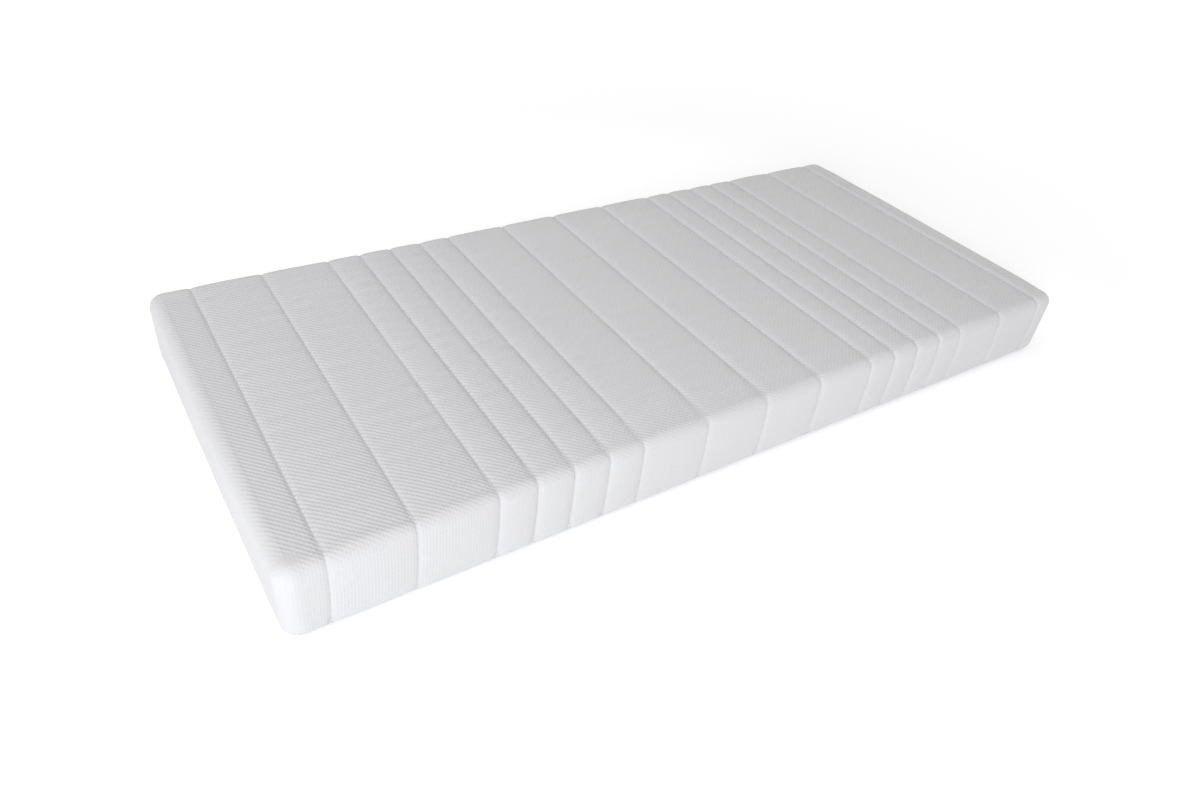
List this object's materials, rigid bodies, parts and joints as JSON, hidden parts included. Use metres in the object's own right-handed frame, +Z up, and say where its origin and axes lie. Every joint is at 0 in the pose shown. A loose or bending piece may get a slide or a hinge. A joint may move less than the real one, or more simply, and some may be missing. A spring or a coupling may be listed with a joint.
{
  "type": "pressure relief mattress",
  "caption": "Flat rectangular foam mattress in a white quilted knitted cover with rounded edges, crosswise quilting lines in wide and narrow channels, and a long zip low on one side.",
  "frame": {"origin": "on the floor, under the middle of the mattress", "axes": "+X along the mattress from the head end to the foot end, +Y across it towards the side with the zip, +Z up to the lying surface"},
  "size_m": [2, 0.9, 0.17],
  "materials": {
    "cover_knit": "matte",
    "wadding_fibre": "matte",
    "backing_nonwoven": "matte",
    "base_knit": "matte",
    "label_satin": "satin",
    "liner_jersey": "matte",
    "slab_foam": "matte",
    "rail_foam": "matte",
    "topper_foam": "matte",
    "firm_insert_foam": "matte",
    "soft_insert_foam": "matte",
    "zip_woven": "matte",
    "zip_nylon": "satin",
    "zip_metal": "satin"
  },
  "bodies": {
    "mattress": {"cover_top": "cover_knit", "quilt_wadding": "wadding_fibre", "quilt_backing": "backing_nonwoven", "cover_base": "base_knit", "care_label": "label_satin", "liner_sock": "liner_jersey", "base_slab": "slab_foam", "side_rail_near": "rail_foam", "side_rail_far": "rail_foam", "topper": "topper_foam", "zone_insert_head": "firm_insert_foam", "zone_insert_shoulder": "soft_insert_foam", "zone_insert_pelvis": "firm_insert_foam", "zone_insert_leg": "soft_insert_foam", "zone_insert_foot": "firm_insert_foam", "zip_tape_upper": "zip_woven", "zip_tape_lower": "zip_woven", "zip_coil_upper": "zip_nylon", "zip_coil_lower": "zip_nylon", "zip_top_stop_upper": "zip_metal", "zip_top_stop_lower": "zip_metal", "zip_bottom_stop": "zip_metal"},
    "zip_slider": {"zip_slider": "zip_metal"},
    "zip_pull": {"zip_pull": "zip_metal"}
  },
  "joints": [
    {"name": "zip_slide", "type": "slide", "parent": "mattress", "child": "zip_slider", "axis": [1, 0, 0], "range_m": [-1.83, 0]},
    {"name": "pull_turn", "type": "hinge", "parent": "zip_slider", "child": "zip_pull", "pos_m": [0.915, 0.4478, 0.04], "axis": [0, 0, -1], "range_deg": [0, 180]}
  ]
}
